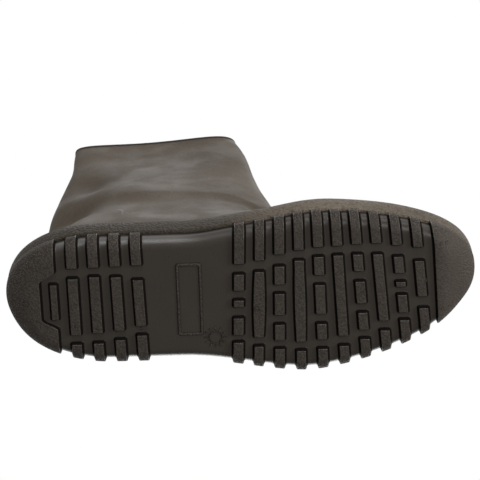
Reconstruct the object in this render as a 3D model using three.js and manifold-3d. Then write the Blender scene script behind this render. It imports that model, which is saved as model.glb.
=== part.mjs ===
// A left pull-on rubber overboot, standing on its cleats.
// Frame: +X toe, +Y outer (lateral) side, -Y inner (medial) side, +Z up, origin under the middle of
// the sole at the cleat tips. Millimetres and degrees.
import * as THREE from "three";
import { mergeVertices } from "three/addons/utils/BufferGeometryUtils.js";
import Module from "manifold-3d";

const wasm = await Module();
wasm.setup();

// Driving dimensions -------------------------------------------------------------------------------

const gap = 0.3; // between two pieces that touch
const plyGap = 0.5; // between the upper and a ply laid inside it

const sole = {
  length: 310,
  heelWidth: 90,
  shankWidth: 90,
  foreWidth: 113,
  heelStation: -87, // X of the widest part of the heel
  shankStation: -38, // X of the waist
  foreStation: 45, // X of the widest part of the forefoot
  toeSkew: 12, // how far the toe tip lies towards the inner side
  heelShift: 1.5, // how far the heel and shank lie towards the outer side
  toeTaper: [1.6, 0.45], // powers of the toe's round end: fullness at its start and at the tip
  heelTaper: [2.1, 0.48],
  bodyTop: 13.2, // top of the cup wall
  wallInset: 2.8, // cup wall behind the foxing's face
  edgeRound: 7.5, // rounding between tread and cup wall, in plan
  tipRound: 13, // more of it at the toe tip, and a share of that at the heel
  tipReach: 32, // how far from each tip the extra rounding starts
  heelShare: 0.7, // how much of that the heel gets
  webThickness: 4.3, // rubber between the tread grooves and the insole
};

const cleat = {
  depth: 3, // height of a cleat above the groove floor
  width: 7.5, // of a bar, across the foot's long axis
  sideDepth: 2.6, // how far a side cleat stands off the cup wall
  forePitch: 13.4,
  foreRows: 10,
  forePlace: -1.2, // X of the first forefoot row
  heelPitch: 14.3,
  heelRows: 4,
  heelPlace: -66.6, // X of the heel row next to the shank
  innerSide: 22.5, // length of a side cleat in from the edge, inner side of the foot
  outerSide: 17.5, // the same on the outer side
  outerHeel: 14, // the same beside the heel
  channel: 6.3, // lengthwise channel between a side cleat and the blocks
  block: 13, // end block of a three-block row
  blockGap: 6.2,
  fan: 5.5, // degrees that the last forefoot row turns
  capGroove: 3, // groove in front of the last row
  shortest: 2, // no block is modelled below this length
};

// The heel's bumper: X of its front edge at the middle and at the shoulders, and half widths there.
const bumper = { frame: -130.5, corner: 13, shoulder: -120, waist: 21, groove: 3 };
const centreBar = { x: -122.4, length: 26, width: 5.5, y: 1 };
const panel = { x: -33.5, y: 2.3, width: 16.2, length: 51, border: 1.3, height: 0.8 };

const foxing = { height: 17.6, thickness: 3, bulge: 0.9 };
const insole = { thickness: 3 };

const upper = {
  wall: 2.6,
  widest: 24, // Z where the foot is at its full width
  toeHeight: 58,
  vampHeight: 66,
  vampStart: 40, // X where the vamp starts to fall to the toe box
  instepHeight: 78,
  instepStart: -10,
  instepRun: 60,
  toeBox: 92, // X where the toe box starts to fall to the tip
  heelBox: -95, // X where the heel's round back starts
  tipFall: 2.3, // power of that fall
  crown: 2.4, // power of the cross-section above the widest level, 2 being an ellipse
  bilge: 5, // the same below it
};

const leg = {
  rim: 254,
  rimRear: -127, // X of the rim's rear edge
  rimFront: -1,
  ankleRear: -136,
  ankleFront: 33,
  heelRear: -150,
  ankleHeight: 96,
  ankleInner: 33, // half depth at the ankle on each side of the leg's middle
  ankleOuter: 35,
  rimInner: 9.4,
  rimOuter: 44,
  rimBulge: 0.4, // how much deeper the inner half gets towards the front
  lean: -11, // Y of the rim's fore-and-aft axis
  outerRound: 2.1, // power of the level section on the outer side
  innerRound: [2.2, 4], // the same on the inner side, at the ankle and at the rim
  instepFillet: 30,
  steepness: 36, // depth at the leg's middle, which sets how the fillet shares out between leg and foot
};

const binding = { height: 4, proud: 0.5 };
const counter = { height: 78, front: -62, thickness: 1.6, round: 34 };
const toePly = { start: 84, thickness: 1.4 };

// The joints' axes, their sweep in degrees and the spare degrees that keep the two sides apart.
const ball = { x: 45.5, z: 11, up: 35, down: 10, spare: 2, rearShare: 0.32, slit: 0.25 };
const ankle = { x: -54, z: 99, sweep: 20, spare: 4, slit: 1.2, shelter: 21 };

const rubber = { outsole: 0x322f2a, foxing: 0x4c4741, upper: 0x655e57, inside: 0x2a2826 };

// The sole's outline -------------------------------------------------------------------------------

const half = sole.length / 2;
const ease = (t) => {
  const s = Math.min(1, Math.max(0, t));
  return s * s * (3 - 2 * s);
};
const mix = (a, b, t) => a + (b - a) * t;
const degrees = Math.PI / 180;

const taper = (t, [start, tip]) => Math.max(0, 1 - t ** start) ** tip;

function halfWidth(x) {
  const heel = sole.heelWidth / 2;
  const shank = sole.shankWidth / 2;
  const fore = sole.foreWidth / 2;
  if (x < sole.heelStation) {
    return heel * taper((sole.heelStation - x) / (sole.heelStation + half), sole.heelTaper);
  }
  if (x < sole.shankStation) {
    return mix(heel, shank, ease((x - sole.heelStation) / (sole.shankStation - sole.heelStation)));
  }
  if (x < sole.foreStation) {
    return mix(shank, fore, ease((x - sole.shankStation) / (sole.foreStation - sole.shankStation)));
  }
  return fore * taper((x - sole.foreStation) / (half - sole.foreStation), sole.toeTaper);
}

function centreLine(x) {
  const toe = Math.max(0, (x - sole.foreStation) / (half - sole.foreStation));
  const ahead = ease((x - sole.shankStation) / (sole.foreStation - sole.shankStation));
  return sole.heelShift * (1 - ahead) - sole.toeSkew * toe ** 1.3;
}

// Points of the outline moved inwards by inset(x), anticlockwise from the toe tip.
const outlineSteps = 52;
function outline(inset) {
  const edge = (a) => {
    const x = half * Math.cos(a);
    return new THREE.Vector2(x, centreLine(x) + Math.sign(Math.sin(a)) * halfWidth(x));
  };
  const points = [];
  for (let i = 0; i < outlineSteps; i++) {
    const a = (i / outlineSteps) * 2 * Math.PI;
    const along = edge(a + 1e-3).sub(edge(a - 1e-3)).normalize();
    const p = edge(a);
    points.push(new THREE.Vector2(p.x - along.y * inset(p.x), p.y + along.x * inset(p.x)));
  }
  return points;
}

// Solids -------------------------------------------------------------------------------------------

function solid(geometry) {
  const g = geometry.index ? geometry.toNonIndexed() : geometry.clone();
  g.deleteAttribute("normal");
  g.deleteAttribute("uv");
  const merged = mergeVertices(g, 1e-4);
  const { array } = merged.attributes.position;
  return new wasm.Manifold(
    new wasm.Mesh({ numProp: 3, vertProperties: array, triVerts: new Uint32Array(merged.index.array) }),
  );
}

const finest = 0.02; // details below this size are merged away
function mesh(name, body, colour) {
  const data = body.simplify(finest).getMesh();
  const geometry = new THREE.BufferGeometry();
  geometry.setAttribute("position", new THREE.BufferAttribute(data.vertProperties, 3));
  geometry.setIndex(new THREE.BufferAttribute(data.triVerts, 1));
  const faceted = geometry.toNonIndexed();
  faceted.computeVertexNormals();
  const material = new THREE.MeshStandardMaterial({ color: colour, roughness: 0.7, metalness: 0 });
  const piece = new THREE.Mesh(faceted, material);
  piece.name = name;
  return piece;
}

// The middle of a ring of points.
function middleOf(ring) {
  return ring.reduce((sum, p) => sum.add(p), new THREE.Vector3()).divideScalar(ring.length);
}

// A closed solid through rings of equal count, each a list of Vector3, with a triangle fan at each end
// that meets at a hub.
function loft(rings, hubs = [middleOf(rings[0]), middleOf(rings.at(-1))]) {
  const count = rings[0].length;
  const vertices = rings.flat().flatMap((p) => [p.x, p.y, p.z]);
  const faces = [];
  for (let r = 0; r + 1 < rings.length; r++) {
    for (let i = 0; i < count; i++) {
      const a = r * count + i;
      const b = r * count + ((i + 1) % count);
      faces.push(a, b, b + count, a, b + count, a + count);
    }
  }
  const cap = (centre, base, flip) => {
    const hub = vertices.length / 3;
    vertices.push(centre.x, centre.y, centre.z);
    for (let i = 0; i < count; i++) {
      const j = (i + 1) % count;
      faces.push(hub, base + (flip ? j : i), base + (flip ? i : j));
    }
  };
  cap(hubs[0], 0, true);
  cap(hubs[1], (rings.length - 1) * count, false);
  const geometry = new THREE.BufferGeometry();
  geometry.setAttribute("position", new THREE.Float32BufferAttribute(vertices, 3));
  geometry.setIndex(faces);
  return solid(geometry);
}

// The sole's outline stacked at several heights: [z, inset] or [z, inset, extra inset at the tips].
function stack(levels) {
  return loft(
    levels.map(([z, inset, tips = 0]) => {
      const nearTip = (x) => (x < 0 ? sole.heelShare : 1) * ease(1 - (half - Math.abs(x)) / sole.tipReach);
      return outline((x) => inset + tips * nearTip(x)).map(
        (p) => new THREE.Vector3(p.x, p.y, z),
      );
    }),
  );
}

// An outline in X and Y carried from z0 up to z1.
function plate(points, z0, z1) {
  const shape = new THREE.Shape(points.map(([x, y]) => new THREE.Vector2(x, y)));
  const geometry = new THREE.ExtrudeGeometry(shape, { depth: z1 - z0, bevelEnabled: false });
  return solid(geometry.translate(0, 0, z0));
}

// An outline in X and Z carried right across the boot.
const across = 200;
function slice(points) {
  const shape = new THREE.Shape(points.map(([x, z]) => new THREE.Vector2(x, z)));
  const geometry = new THREE.ExtrudeGeometry(shape, { depth: across, bevelEnabled: false });
  return solid(geometry.rotateX(Math.PI / 2).translate(0, across / 2, 0));
}

// The body of the upper ----------------------------------------------------------------------------

const skinInset = foxing.thickness + gap;
const floor = cleat.depth + sole.webThickness + gap; // underside of the insole

// Height of the foot's ridge above the sole, falling to the widest level at both tips.
function ridge(x) {
  const fall = ease((x - upper.vampStart) / (upper.toeBox - upper.vampStart));
  const front = mix(upper.vampHeight, upper.toeHeight, fall);
  const top = mix(upper.instepHeight, front, ease((x - upper.instepStart) / upper.instepRun));
  const tip = half - skinInset;
  const start = x > 0 ? upper.toeBox : -upper.heelBox;
  const t = Math.min(1, Math.max(0, (Math.abs(x) - start) / (tip - start)));
  return mix(upper.widest, top, Math.sqrt(1 - t ** upper.tipFall));
}

// Positive inside the foot, in millimetres near its surface.
const outside = -60;
function footDepth(p) {
  const scale = (half - skinInset) / half;
  const width = halfWidth(p.x / scale) - skinInset;
  if (width <= 1 || Math.abs(p.x) >= half - skinInset) return outside;
  const side = Math.abs(p.y - centreLine(p.x)) / width;
  const rise = p.z > upper.widest;
  const tall = rise ? Math.max(1, ridge(p.x) - upper.widest) : upper.widest - floor;
  const up = Math.abs(p.z - upper.widest) / tall;
  const power = rise ? upper.crown : upper.bilge;
  return (1 - (side ** power + up ** power) ** (1 / power)) * Math.min(width, 40);
}

// Positive inside the leg, which ends in the foot below the foot's widest level.
function legDepth(p) {
  const low = Math.max(0, (leg.ankleHeight - p.z) / (leg.ankleHeight - upper.widest));
  const high = Math.max(0, (p.z - leg.ankleHeight) / (leg.rim - leg.ankleHeight));
  const rear = mix(mix(leg.ankleRear, leg.rimRear, ease(high)), leg.heelRear, low ** 1.6);
  const front = mix(leg.ankleFront, leg.rimFront, high ** 1.2);
  const along = (p.x - (front + rear) / 2) / ((front - rear) / 2);
  const raised = ease(high * 1.2);
  const swell = 1 + leg.rimBulge * (along + along * along);
  const inner = mix(leg.ankleInner, leg.rimInner * swell, raised);
  const outer = mix(leg.ankleOuter, leg.rimOuter, ease(high));
  const off = p.y - leg.lean * raised;
  const side = Math.abs(off) / (off > 0 ? outer : inner);
  const power = off > 0 ? leg.outerRound : mix(...leg.innerRound, ease(high) ** 2);
  const sunk = Math.max(0, upper.widest - p.z) * 2;
  return (1 - (Math.abs(along) ** power + side ** power) ** (1 / power)) * leg.steepness - sunk;
}

function depth(p) {
  const a = footDepth(p);
  const b = legDepth(p);
  const share = Math.min(1, Math.max(0, 0.5 + (a - b) / (2 * leg.instepFillet)));
  return mix(b, a, share) + (leg.instepFillet * share * (1 - share)) / 2;
}

// Distance inside the upper's outer face, negative outside it.
function inside(p) {
  const step = 0.5;
  const slope = (axis) => {
    const [q, r] = [p.clone(), p.clone()];
    q[axis] += step;
    r[axis] -= step;
    return (depth(q) - depth(r)) / (2 * step);
  };
  return depth(p) / Math.hypot(slope("x"), slope("y"), slope("z"));
}

// Sections run upright from the toe to the instep, turn about the instep and go on level up the leg.
const turn = { x: 58, z: 126, middle: -52 };
const core = upper.widest + 4; // Z of the sections' origins along the foot
const above = 8; // the skin runs on past the rim, and is cut there
const foreSteps = 9;
const turnSteps = 14;
const legSteps = 6;
function sections() {
  const list = [];
  const tip = half - skinInset - 5;
  for (let i = 0; i < foreSteps; i++) {
    const x = mix(turn.x, tip, Math.cos((i / foreSteps) * (Math.PI / 2)));
    list.push({ origin: new THREE.Vector3(x, centreLine(x), core), angle: 0 });
  }
  for (let i = 0; i <= turnSteps; i++) {
    const share = (i / turnSteps) ** 0.8; // closer together towards the heel
    const angle = share * 90 * degrees;
    const arm = mix(turn.z - core, turn.x - turn.middle, share);
    const x = turn.x - arm * Math.sin(angle);
    list.push({ origin: new THREE.Vector3(x, 0, turn.z - arm * Math.cos(angle)), angle });
  }
  for (let i = 1; i <= legSteps; i++) {
    const z = mix(turn.z, leg.rim + above, i / legSteps);
    const y = leg.lean * ease((z - leg.ankleHeight) / (leg.rim - leg.ankleHeight));
    list.push({ origin: new THREE.Vector3(turn.middle - 10, y + 6, z), angle: Math.PI / 2 });
  }
  return list;
}

// The point along a ray from inside the upper that lies this far inside its outer face.
function reach(origin, way, inwards) {
  const at = (d) => origin.clone().addScaledVector(way, d);
  const stride = 3;
  let low = 0;
  while (inside(at(low + stride)) > inwards) low += stride;
  let high = low + stride;
  while (high - low > 1e-4) {
    const middle = (low + high) / 2;
    if (inside(at(middle)) > inwards) low = middle;
    else high = middle;
  }
  return at(low);
}

// The upper's outer face moved in by a depth, or out where the depth is negative.
const around = 28;
const crowd = 0.3; // how much closer the rays stand at the foot's sides and at the leg's ends
function skin(inwards) {
  const list = sections();
  const rings = list.map(({ origin, angle }) => {
    const ring = [];
    for (let i = 0; i < around; i++) {
      const even = (i / around) * 2 * Math.PI;
      const a = even + crowd * Math.cos(2 * angle) * Math.sin(2 * even);
      const ahead = Math.cos(a);
      const way = new THREE.Vector3(ahead * Math.sin(angle), Math.sin(a), ahead * Math.cos(angle));
      ring.push(reach(origin, way, inwards));
    }
    return ring;
  });
  const tip = reach(list[0].origin, new THREE.Vector3(1, 0, 0), inwards);
  return loft(rings, [tip, middleOf(rings.at(-1))]);
}

// Cuts at the two flexing joints -------------------------------------------------------------------

const far = 400;
const level = (z0, z1) => slice([[-far, z0], [far, z0], [far, z1], [-far, z1]]);

// Everything ahead of (side 1) or behind (side -1) the ball joint, with room for it to bend.
function ballSide(side) {
  const share = side > 0 ? 1 - ball.rearShare : ball.rearShare;
  const rise = (ball.up + ball.spare) * share;
  const fall = (ball.down + ball.spare) / 2;
  const start = ball.x + side * ball.slit;
  return slice([
    [start, ball.z],
    [start + side * far * Math.tan(rise * degrees), ball.z + far],
    [side * 2 * far, ball.z + far],
    [side * 2 * far, -far],
    [start + side * far * Math.tan(fall * degrees), -far],
  ]);
}

// Everything above (side 1) or below (side -1) the ankle joint, ahead as far as the foot of the leg.
function ankleSide(side) {
  const tilt = Math.tan(((ankle.sweep + ankle.spare) / 2) * degrees);
  const start = ankle.z + side * ankle.slit;
  const front = leg.ankleFront + ankle.shelter;
  const rise = [
    [ankle.x - far, start + side * far * tilt],
    [ankle.x, start],
    [front, start + side * (front - ankle.x) * tilt],
  ];
  if (side > 0) return slice([...rise, [front, far], [ankle.x - far, far]]);
  return slice([[ankle.x - far, -far], [far, -far], [far, far], [front, far], ...rise.reverse()]);
}

// Outsole ------------------------------------------------------------------------------------------

// A cup whose wall stands this far inside the foxing's face, with a rounded edge at its foot.
function cup(foot, inset, top) {
  const { edgeRound, tipRound } = sole;
  return stack([
    [foot, inset + edgeRound, tipRound],
    [foot + edgeRound * 0.25, inset + edgeRound * 0.37, tipRound * 0.6],
    [foot + edgeRound * 0.65, inset + edgeRound * 0.08, tipRound * 0.25],
    ...top,
  ]);
}
const wall = sole.wallInset;
const cleatFace = wall - cleat.sideDepth;
const soleBody = cup(cleat.depth, wall, [[sole.bodyTop, wall]]);
const treadSpace = cup(0, cleatFace, [
  [sole.bodyTop - 2, cleatFace + 0.3],
  [sole.bodyTop - 0.4, wall - 0.2],
]);
const wide = 80; // clear of the sole on each side
const cutFoot = -1; // clear of the cleat tips

// One cleat: a block from y0 to y1 whose ends follow its row's turn about the foot's long axis.
function block(x, y0, y1, width, turnAngle) {
  const lean = Math.tan(turnAngle);
  const corner = (side, y) => [x + (side * width) / 2 + lean * y, y];
  return plate([corner(-1, y0), corner(1, y0), corner(1, y1), corner(-1, y1)], cutFoot, sole.bodyTop);
}

// A row across the sole: a side cleat at each edge, and one long block or two or three short ones.
function row(x, turnAngle, inner, outer, splits) {
  const top = centreLine(x) + halfWidth(x);
  const bottom = centreLine(x) - halfWidth(x);
  const w = cleat.width;
  const blocks = [
    block(x, bottom - 10, bottom + inner, w, turnAngle),
    block(x, top - outer, top + 10, w, turnAngle),
  ];
  const low = bottom + inner + cleat.channel;
  const high = top - outer - cleat.channel;
  if (splits) {
    blocks.push(block(x, low, low + cleat.block, w, turnAngle));
    blocks.push(block(x, high - cleat.block, high, w, turnAngle));
    const between = [low + cleat.block + cleat.blockGap, high - cleat.block - cleat.blockGap];
    if (between[1] - between[0] > cleat.shortest) blocks.push(block(x, ...between, w, turnAngle));
  } else {
    blocks.push(block(x, low, high, w, turnAngle));
  }
  return blocks;
}

function tread() {
  const blocks = [];
  for (let i = 0; i < cleat.foreRows; i++) {
    const x = cleat.forePlace + i * cleat.forePitch;
    const angle = (i / (cleat.foreRows - 1)) * cleat.fan * degrees;
    const last = i === cleat.foreRows - 1;
    blocks.push(...row(x, angle, cleat.innerSide, cleat.outerSide, i % 2 === 0 && !last));
  }
  for (let i = 0; i < cleat.heelRows; i++) {
    const x = cleat.heelPlace - i * cleat.heelPitch;
    blocks.push(...row(x, 0, cleat.innerSide, cleat.outerHeel, false));
  }
  const { x, y, length, width } = centreBar;
  blocks.push(block(x, y - length / 2, y + length / 2, width, 0));
  return blocks;
}

// The smooth cap ahead of the last row, and the bumper that frames the heel's rows.
function ends() {
  const lastRow = cleat.forePlace + (cleat.foreRows - 1) * cleat.forePitch;
  const edge = lastRow + cleat.width / 2 + cleat.capGroove;
  const lean = Math.tan(cleat.fan * degrees) * wide;
  const cap = [[edge - lean, -wide], [half, -wide], [half, wide], [edge + lean, wide]];
  const { corner, waist, groove } = bumper;
  const shoulder = bumper.shoulder - groove;
  const frame = bumper.frame - groove;
  const inner = [[shoulder, -wide], [shoulder, -waist], [frame, -corner]];
  const outer = inner.map(([x, y]) => [x, -y]).reverse();
  const heel = [[-half, -wide], ...inner, ...outer, [-half, wide]];
  return [cap, heel].map((points) => plate(points, cutFoot, sole.bodyTop));
}

function panelFrame() {
  const { x, y, width, length, border, height } = panel;
  const rectangle = (w, l) => [
    [x - w / 2, y - l / 2],
    [x + w / 2, y - l / 2],
    [x + w / 2, y + l / 2],
    [x - w / 2, y + l / 2],
  ];
  const outer = plate(rectangle(width, length), cleat.depth - height, sole.bodyTop);
  const inner = plate(rectangle(width - 2 * border, length - 2 * border), cutFoot, cleat.depth);
  return outer.subtract(inner);
}

const cleats = [...tread(), ...ends()].reduce((all, one) => all.add(one));
const outsole = soleBody
  .add(cleats.intersect(treadSpace))
  .add(panelFrame().intersect(soleBody.add(treadSpace)))
  .subtract(skin(-gap));

// Foxing, insole and upper -------------------------------------------------------------------------

const foxingFoot = sole.bodyTop + gap;
const foxingTop = foxingFoot + foxing.height;
const strip = stack([
  [foxingFoot, foxing.bulge],
  [foxingFoot + foxing.height / 2, 0],
  [foxingTop, foxing.bulge],
]);
const band = strip.subtract(skin(-gap));

const board = stack([
  [floor, 0],
  [floor + insole.thickness, 0],
]).intersect(skin(gap / 2));

const upperFoot = floor + insole.thickness + gap;
const bindingFoot = leg.rim - binding.height;
const shell = skin(0).subtract(skin(upper.wall)).intersect(level(upperFoot, bindingFoot - gap));
const bead = skin(-binding.proud)
  .subtract(skin(upper.wall + binding.proud))
  .intersect(level(bindingFoot, leg.rim));

// Inner plies --------------------------------------------------------------------------------------

const lining = skin(upper.wall + plyGap);

function heelCounter() {
  const ply = lining.subtract(skin(upper.wall + plyGap + counter.thickness));
  const top = counter.height;
  const corner = new THREE.Path();
  corner.absarc(counter.front - counter.round, top - counter.round, counter.round, 0, Math.PI / 2);
  const round = corner.getPoints(6).map((p) => [p.x, p.y]);
  return ply.intersect(slice([[-far, upperFoot], [counter.front, upperFoot], ...round, [-far, top]]));
}

function toeCapPly() {
  const ply = lining.subtract(skin(upper.wall + plyGap + toePly.thickness));
  const { start } = toePly;
  return ply.intersect(slice([[start, upperFoot], [far, upperFoot], [far, far], [start, far]]));
}

// Assembly -----------------------------------------------------------------------------------------

const toe = ballSide(1);
const rear = ballSide(-1);
const legSide = ankleSide(1);
const footSide = ankleSide(-1);

// What fills the notch of a joint once both sides are cut away, kept a gap clear of each.
function between(body, sides) {
  return sides.reduce((left, side) => left.subtract(side), body);
}
const shifted = (body, x, z) => body.translate([x, 0, z]);
const ballNotch = [shifted(toe, -gap, 0), shifted(rear, gap, 0)];
const ankleNotch = [shifted(legSide, 0, -gap), shifted(footSide, 0, gap)];
// Where the sole bends, upper and foxing are modelled as one ply.
const foldWall = shell.intersect(footSide).add(strip.subtract(skin(upper.wall)));
const ballFold = between(foldWall, ballNotch);
const ankleFold = between(shell, ankleNotch);

const overboot = new THREE.Group();
overboot.add(
  mesh("outsole_rear", outsole.intersect(rear), rubber.outsole),
  mesh("outsole_toe", outsole.intersect(toe), rubber.outsole),
  mesh("foxing_rear", band.intersect(rear), rubber.foxing),
  mesh("foxing_toe", band.intersect(toe), rubber.foxing),
  mesh("insole_rear", board.intersect(rear), rubber.inside),
  mesh("insole_toe", board.intersect(toe), rubber.inside),
  mesh("quarter", shell.intersect(rear).intersect(footSide), rubber.upper),
  mesh("vamp_toe", shell.intersect(toe).intersect(footSide), rubber.upper),
  mesh("ball_fold", ballFold, rubber.upper),
  mesh("ankle_fold", ankleFold, rubber.upper),
  mesh("leg", shell.intersect(legSide), rubber.upper),
  mesh("rim_bead", bead, rubber.outsole),
  mesh("heel_counter", heelCounter(), rubber.inside),
  mesh("toe_ply", toeCapPly(), rubber.inside),
);
export default overboot;
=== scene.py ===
"""A left pull-on rubber overboot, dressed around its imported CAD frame.

Shapes are worked out in millimetres in the frame's axes: +X toe, +Y outer side, +Z up, cleat tips on Z 0.
"""

import math

import bpy
import numpy as np
from mathutils import Matrix, Vector
from mathutils.bvhtree import BVHTree

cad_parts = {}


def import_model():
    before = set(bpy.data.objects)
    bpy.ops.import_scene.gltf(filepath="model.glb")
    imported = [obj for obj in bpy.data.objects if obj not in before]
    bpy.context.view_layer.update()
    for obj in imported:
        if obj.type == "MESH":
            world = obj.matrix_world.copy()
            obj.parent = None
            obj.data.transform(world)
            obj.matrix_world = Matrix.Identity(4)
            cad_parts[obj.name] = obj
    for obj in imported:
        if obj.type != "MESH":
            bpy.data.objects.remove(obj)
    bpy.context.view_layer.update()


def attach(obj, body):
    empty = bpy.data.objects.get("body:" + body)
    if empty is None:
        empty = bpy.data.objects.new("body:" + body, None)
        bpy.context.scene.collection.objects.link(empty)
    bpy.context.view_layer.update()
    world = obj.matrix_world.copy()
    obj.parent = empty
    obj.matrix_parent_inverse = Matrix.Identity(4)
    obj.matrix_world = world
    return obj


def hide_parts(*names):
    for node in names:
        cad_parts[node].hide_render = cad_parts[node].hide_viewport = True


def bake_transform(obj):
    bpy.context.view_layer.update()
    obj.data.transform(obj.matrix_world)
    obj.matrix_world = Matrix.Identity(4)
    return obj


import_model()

MM = 0.001

# ---- sizes of the boot, as in the CAD part

HALF = 155.0  # half of the sole's length
HEEL_W, SHANK_W, FORE_W = 90.0, 90.0, 113.0
HEEL_X, SHANK_X, FORE_X = -87.0, -38.0, 45.0
TOE_SKEW, HEEL_SHIFT, HEEL_SKEW = 12.0, 1.5, 3.6
TOE_TAPER, HEEL_TAPER = (1.6, 0.45), (2.1, 0.48)
CLEAT = 3.0  # cleat depth
CUP_TOP, CUP_INSET = 13.2, 2.8  # the outsole's wall: its Z, and how far inside the outline it stands
EDGE_ROUND = 7.5  # how far the sole's rounded edge takes in plan
SKIN_INSET = 3.3  # from the sole's outline in to the upper's outer face
FLOOR = 7.6  # Z where the foot of the upper starts
WIDEST = 24.0  # Z where the foot of the upper is widest
INSTEP_TOP, VAMP_TOP, TOE_TOP = 78.0, 66.0, 58.0
WALL = 2.6
ANKLE = 96.0  # Z where the leg's own shape starts
RIM = 254.0
LEAN = -11.0  # how far the rim stands to the inner side


def ease(t):
    t = np.clip(t, 0.0, 1.0)
    return t * t * (3 - 2 * t)


def mix(a, b, t):
    return a + (b - a) * t


def unit(v):
    return v / (np.linalg.norm(v, axis=-1, keepdims=True) + 1e-20)


def bump(v, centre, width):
    """1 at centre, falling smoothly to 0 at width away."""
    return ease(1 - np.abs(v - centre) / width)


def waist(x):
    """Half of how far the sole's inner outline is drawn in at the waist."""
    return 1.1 * bump(x, 22.0, 36.0)


def half_width(x):
    """Half of the sole's width."""
    x = np.asarray(x, float)
    heel, shank, fore = HEEL_W / 2, SHANK_W / 2, FORE_W / 2
    th = np.clip((HEEL_X - x) / (HEEL_X + HALF), 0, 1)
    tt = np.clip((x - FORE_X) / (HALF - FORE_X), 0, 1)
    return -waist(x) + np.select(
        [x < HEEL_X, x < SHANK_X, x < FORE_X],
        [
            heel * (1 - th ** HEEL_TAPER[0]) ** HEEL_TAPER[1],
            mix(heel, shank, ease((x - HEEL_X) / (SHANK_X - HEEL_X))),
            mix(shank, fore, ease((x - SHANK_X) / (FORE_X - SHANK_X))),
        ],
        fore * (1 - tt ** TOE_TAPER[0]) ** TOE_TAPER[1],
    )


def centre_line(x):
    """Y of the sole's middle."""
    x = np.asarray(x, float)
    toe = np.clip((x - FORE_X) / (HALF - FORE_X), 0, None)
    ahead = ease((x - SHANK_X) / (FORE_X - SHANK_X))
    behind = np.clip((HEEL_X - x) / (HALF + HEEL_X), 0, None)
    return HEEL_SHIFT * (1 - ahead) - TOE_SKEW * toe**1.3 - HEEL_SKEW * behind**1.4 + waist(x)


def edge_y(x, side):
    """Y of the sole's outline on the outer side (1) or the inner side (-1)."""
    return centre_line(x) + side * half_width(x)


# ---- the body of the upper

TIP = HALF - SKIN_INSET
FILLET = 30.0  # blend between the foot and the leg
ROUND = 36  # millimetres that a unit of the leg's rounded section stands for
LEG_REAR = (-150.0, -136.0, -127.0)  # X at the widest level, at the ankle and at the rim
LEG_FRONT = (33.0, -1.0)  # X up to the ankle and at the rim
LEG_INNER, LEG_OUTER = (33.0, 9.4), (35.0, 44.0)  # half widths up to the ankle and higher up


def ridge(x):
    """Height of the foot's top."""
    front = mix(VAMP_TOP, TOE_TOP, ease((x - 40) / 52))
    top = mix(INSTEP_TOP, front, ease((x + 10) / 60))
    start = np.where(x > 0, 92.0, 95.0)
    t = np.clip((np.abs(x) - start) / (TIP - start), 0, 1)
    return mix(WIDEST, top, np.sqrt(1 - t**2.3))


def foot_depth(x, y, z):
    """About how deep a point lies in the foot, negative outside it."""
    width = half_width(np.clip(x * HALF / TIP, -HALF, HALF)) - SKIN_INSET
    out = (width <= 1) | (np.abs(x) >= TIP)
    width = np.maximum(width, 1)
    side = np.abs(y - centre_line(x)) / width
    rise = z > WIDEST
    tall = np.where(rise, np.maximum(1.0, ridge(x) - WIDEST), WIDEST - FLOOR)
    up = np.abs(z - WIDEST) / tall
    p = np.where(rise, 2.4, 5.0)
    return np.where(out, -60.0, (1 - (side**p + up**p) ** (1 / p)) * np.minimum(width, 40))


def leg_depth(x, y, z):
    """About how deep a point lies in the leg, negative outside it."""
    low = np.clip((ANKLE - z) / (ANKLE - WIDEST), 0, None)
    high = np.clip((z - ANKLE) / (RIM - ANKLE), 0, None)
    rear = mix(mix(LEG_REAR[1], LEG_REAR[2], ease(high)), LEG_REAR[0], low**1.6)
    front = mix(*LEG_FRONT, high**1.2)
    along = (x - (front + rear) / 2) / ((front - rear) / 2)
    raised = ease(high * 1.2)
    inner = mix(LEG_INNER[0], LEG_INNER[1] * (1 + 0.4 * (along + along * along)), raised)
    outer = mix(*LEG_OUTER, ease(high))
    off = y - LEAN * raised
    side = np.abs(off) / np.where(off > 0, outer, np.maximum(inner, 1))
    p = np.where(off > 0, 2.1, mix(2.2, 4.0, ease(high) ** 2))
    sunk = np.clip(WIDEST - z, 0, None) * 2
    return (1 - (np.abs(along) ** p + side**p) ** (1 / p)) * ROUND - sunk


def depth(x, y, z):
    """About how deep a point lies in the foot and the leg together, with a fillet between them."""
    a, b = foot_depth(x, y, z), leg_depth(x, y, z)
    share = np.clip(0.5 + (a - b) / (2 * FILLET), 0, 1)
    return mix(b, a, share) + FILLET * share * (1 - share) / 2


def inside(p):
    """Distance inside the upper's outer face, negative outside it."""
    x, y, z = p[..., 0], p[..., 1], p[..., 2]
    s = 0.5
    gx = depth(x + s, y, z) - depth(x - s, y, z)
    gy = depth(x, y + s, z) - depth(x, y - s, z)
    gz = depth(x, y, z + s) - depth(x, y, z - s)
    return depth(x, y, z) / np.sqrt(gx * gx + gy * gy + gz * gz + 1e-12) * (2 * s)


PIVOT = (58.0, 126.0)  # X and Z of the line that the sections turn about at the instep
CORE = WIDEST + 4
LEG_CORE = (-52.0, -62.0)  # X of the sections' origins where the leg starts, and above that
END_GAP = 1.2  # from the toe's tip and from the rim in to the sections next to them
FORE, TURN, LEG = 34, 64, 40
AROUND = 200
SPLIT = FORE + 18  # the section where the toe half of the upper meets the leg half


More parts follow.
